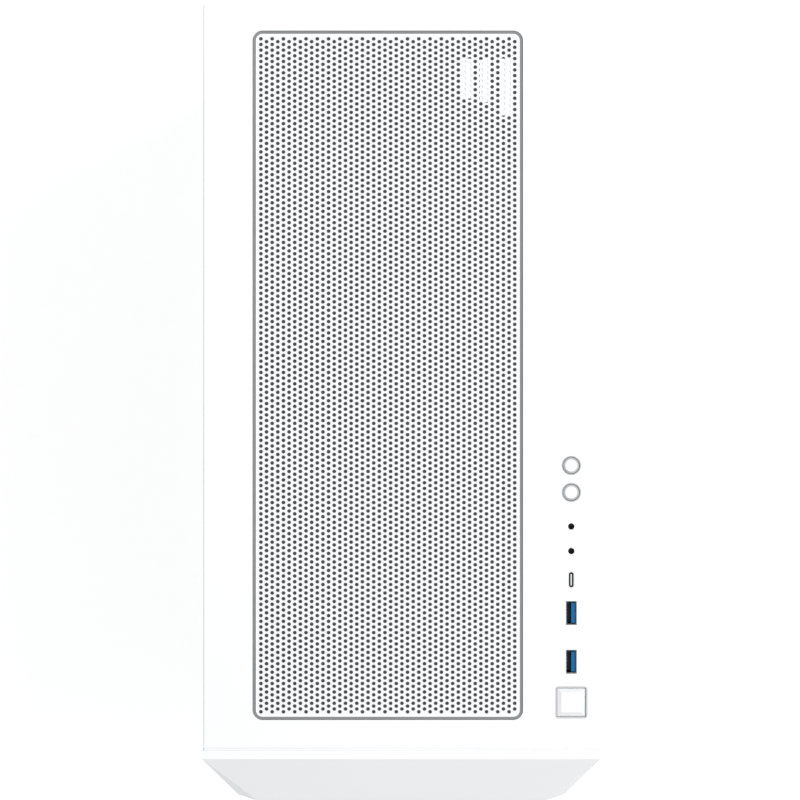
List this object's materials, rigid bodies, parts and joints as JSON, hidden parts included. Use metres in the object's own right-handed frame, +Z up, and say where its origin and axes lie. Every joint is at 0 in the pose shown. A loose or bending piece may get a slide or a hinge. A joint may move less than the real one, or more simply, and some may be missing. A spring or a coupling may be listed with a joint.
{
  "type": "desktop computer tower",
  "caption": "White mid-tower desktop computer with perforated top filter, top sockets and buttons, faceted mesh front, glass door and working parts inside.",
  "frame": {"origin": "on the floor under the middle of the tower's overall box", "axes": "+Z up, the front panel faces -Y, the buttons and sockets are on the +X side of the top, the glass door on the -X side"},
  "size_m": [0.225, 0.4614, 0.485],
  "materials": {
    "white_steel": "white powder coat, satin",
    "white_plastic": "white moulded plastic, fine grain",
    "white_mesh": "perforated steel, white powder coat",
    "glass": "clear tempered glass",
    "hinge_steel": "white painted steel strip",
    "bare_steel": "bright zinc plated",
    "button_plastic": "white gloss moulding",
    "port_steel": "nickel plated stamping",
    "blue_plastic": "blue insulating plastic",
    "jack_plastic": "white collar round a black bore",
    "black_plastic": "black moulded plastic",
    "rubber": "soft black pad",
    "filter_mesh": "black nylon mesh in a frame",
    "fan_frame": "white fan frame",
    "fan_rotor": "pale translucent rotor",
    "circuit_board": "black solder mask with copper traces",
    "heatsink": "bare aluminium, brushed",
    "memory": "white anodised heat spreader",
    "nickel": "nickel plated lid",
    "brass": "brass stand-offs",
    "card_shroud": "dark graphite shroud",
    "psu_case": "black textured case",
    "drive_case": "cast aluminium drive case",
    "cable": "sleeved white cable"
  },
  "bodies": {
    "chassis": {"audio_jacks": "jack_plastic", "board_connectors": "black_plastic", "board_heatsinks": "heatsink", "chassis_floor": "white_steel", "chassis_front": "white_steel", "chassis_top": "white_steel", "cooler_fan_frame": "fan_frame", "cooler_heatsink": "heatsink", "drive_cage": "white_steel", "feet": "white_plastic", "foot_pads": "rubber", "front_fan_lower_frame": "fan_frame", "front_fan_middle_frame": "fan_frame", "front_fan_upper_frame": "fan_frame", "graphics_board": "circuit_board", "graphics_bracket": "bare_steel", "graphics_cooler": "card_shroud", "hard_drives": "drive_case", "hinge_pins": "hinge_steel", "io_board": "circuit_board", "io_shield": "bare_steel", "main_power_cable": "cable", "memory_modules": "memory", "motherboard": "circuit_board", "motherboard_tray": "white_steel", "power_inlet": "black_plastic", "power_supply": "psu_case", "processor": "nickel", "psu_shroud": "white_steel", "rear_fan_frame": "fan_frame", "rear_io_ports": "port_steel", "rear_panel": "white_steel", "rear_screws": "bare_steel", "slot_covers": "white_steel", "standoffs": "brass", "top_cover": "white_steel", "usb_a_ports": "port_steel", "usb_a_tongues": "blue_plastic", "usb_c_port": "port_steel"},
    "glass_door": {"glass_panel": "glass", "glass_hinge_frame": "hinge_steel"},
    "side_panel": {"steel_side_panel": "white_steel", "thumbscrews": "hinge_steel"},
    "front_panel": {"front_bezel": "white_plastic", "front_mesh": "white_mesh", "panel_clips": "bare_steel"},
    "top_filter": {"top_dust_filter": "white_mesh"},
    "floor_filter": {"bottom_dust_filter": "filter_mesh"},
    "power_plunger": {"power_button": "button_plastic"},
    "led_plunger": {"led_button": "button_plastic"},
    "reset_plunger": {"reset_button": "button_plastic"},
    "front_rotor_lower": {"front_fan_lower_rotor": "fan_rotor"},
    "front_rotor_middle": {"front_fan_middle_rotor": "fan_rotor"},
    "front_rotor_upper": {"front_fan_upper_rotor": "fan_rotor"},
    "rear_rotor": {"rear_fan_rotor": "fan_rotor"},
    "cooler_rotor": {"cooler_fan_rotor": "fan_rotor"},
    "graphics_rotor_rear": {"graphics_fan_rear": "black_plastic"},
    "graphics_rotor_front": {"graphics_fan_front": "black_plastic"},
    "psu_rotor": {"psu_fan_rotor": "black_plastic"},
    "psu_rocker": {"psu_switch": "black_plastic"}
  },
  "joints": [
    {"name": "door_hinge", "type": "hinge", "parent": "chassis", "child": "glass_door", "pos_m": [-0.107, 0.22675, 0.2485], "axis": [0, 0, -1], "range_deg": [0, 110]},
    {"name": "side_panel_slide", "type": "slide", "parent": "chassis", "child": "side_panel", "axis": [0, 1, 0], "range_m": [0, 0.03]},
    {"name": "front_panel_pull", "type": "slide", "parent": "chassis", "child": "front_panel", "axis": [0, -1, 0], "range_m": [0, 0.05]},
    {"name": "top_filter_lift", "type": "slide", "parent": "chassis", "child": "top_filter", "axis": [0, 0, 1], "range_m": [0, 0.06]},
    {"name": "floor_filter_slide", "type": "slide", "parent": "chassis", "child": "floor_filter", "axis": [0, 1, 0], "range_m": [0, 0.16]},
    {"name": "power_press", "type": "slide", "parent": "chassis", "child": "power_plunger", "axis": [0, 0, -1], "range_m": [0, 0.0015], "stiffness_N_per_m": 400, "springref_m": -0.001},
    {"name": "led_press", "type": "slide", "parent": "chassis", "child": "led_plunger", "axis": [0, 0, -1], "range_m": [0, 0.0015], "stiffness_N_per_m": 400, "springref_m": -0.001},
    {"name": "reset_press", "type": "slide", "parent": "chassis", "child": "reset_plunger", "axis": [0, 0, -1], "range_m": [0, 0.0015], "stiffness_N_per_m": 400, "springref_m": -0.001},
    {"name": "front_spin_lower", "type": "hinge", "parent": "chassis", "child": "front_rotor_lower", "pos_m": [-0.0076, -0.18555, 0.1265], "axis": [0, 1, 0], "continuous": true},
    {"name": "front_spin_middle", "type": "hinge", "parent": "chassis", "child": "front_rotor_middle", "pos_m": [-0.0076, -0.18555, 0.2475], "axis": [0, 1, 0], "continuous": true},
    {"name": "front_spin_upper", "type": "hinge", "parent": "chassis", "child": "front_rotor_upper", "pos_m": [-0.0076, -0.18555, 0.3685], "axis": [0, 1, 0], "continuous": true},
    {"name": "rear_spin", "type": "hinge", "parent": "chassis", "child": "rear_rotor", "pos_m": [-0.03085, 0.20955, 0.3988], "axis": [0, 1, 0], "continuous": true},
    {"name": "cooler_spin", "type": "hinge", "parent": "chassis", "child": "cooler_rotor", "pos_m": [-0.0146, 0.09555, 0.348], "axis": [0, 1, 0], "continuous": true},
    {"name": "graphics_spin_rear", "type": "hinge", "parent": "chassis", "child": "graphics_rotor_rear", "pos_m": [0.0094, 0.14755, 0.20288], "axis": [0, 0, 1], "continuous": true},
    {"name": "graphics_spin_front", "type": "hinge", "parent": "chassis", "child": "graphics_rotor_front", "pos_m": [0.0094, 0.03555, 0.20288], "axis": [0, 0, 1], "continuous": true},
    {"name": "psu_spin", "type": "hinge", "parent": "chassis", "child": "psu_rotor", "pos_m": [0.015, 0.14655, 0.0342], "axis": [0, 0, 1], "continuous": true},
    {"name": "psu_rocker_tip", "type": "hinge", "parent": "chassis", "child": "psu_rocker", "pos_m": [0.057, 0.21855, 0.0552], "axis": [1, 0, 0], "range_deg": [-16, 0]}
  ]
}
